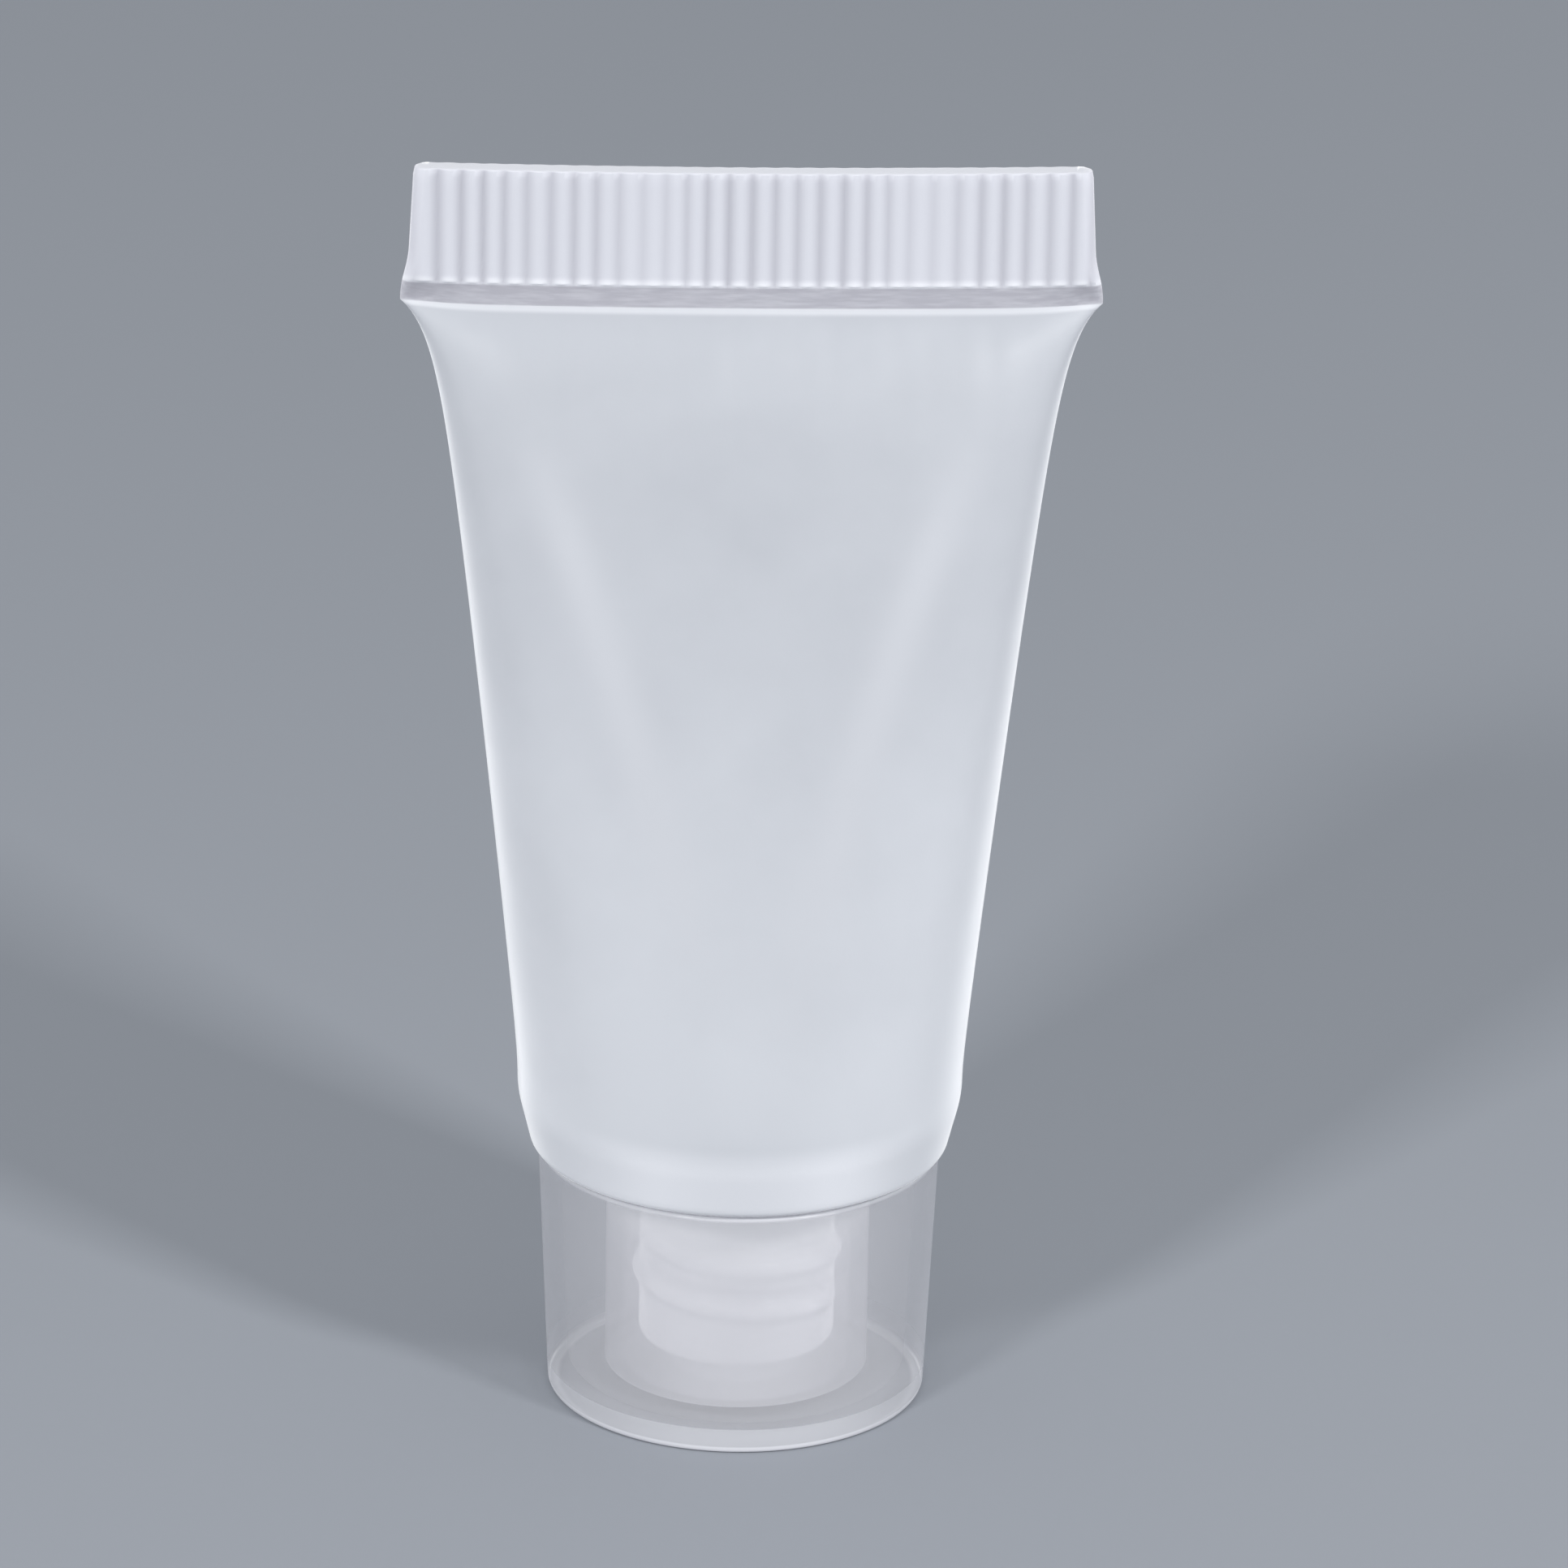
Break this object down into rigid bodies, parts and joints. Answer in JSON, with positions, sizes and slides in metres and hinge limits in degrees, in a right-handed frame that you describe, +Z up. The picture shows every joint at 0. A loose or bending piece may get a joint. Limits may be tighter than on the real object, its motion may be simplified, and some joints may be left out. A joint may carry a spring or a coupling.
{
  "type": "sample squeeze tube",
  "caption": "Small milky see-through squeeze tube, pressed flat into a ribbed heat seal at the top, standing on a tapered screw cap with an inner threaded collar.",
  "frame": {"origin": "centre of the cap's flat end face, on the surface that the pack stands on", "axes": "+Z up along the tube's axis, from the cap's end to the seal; X along the flat seal; Y through the tube's depth"},
  "size_m": [0.0294, 0.019, 0.0549],
  "materials": {
    "cap_plastic": "see-through, slightly milky moulded plastic with a soft gloss",
    "tube_plastic": "soft milky see-through plastic with a satin surface"
  },
  "bodies": {
    "cap": {"cap": "cap_plastic"},
    "tube": {"tube": "tube_plastic"}
  },
  "joints": [
    {"name": "tube_lift", "type": "slide", "parent": "cap", "child": "tube", "axis": [0, 0, 1], "range_m": [0, 0.014]}
  ]
}
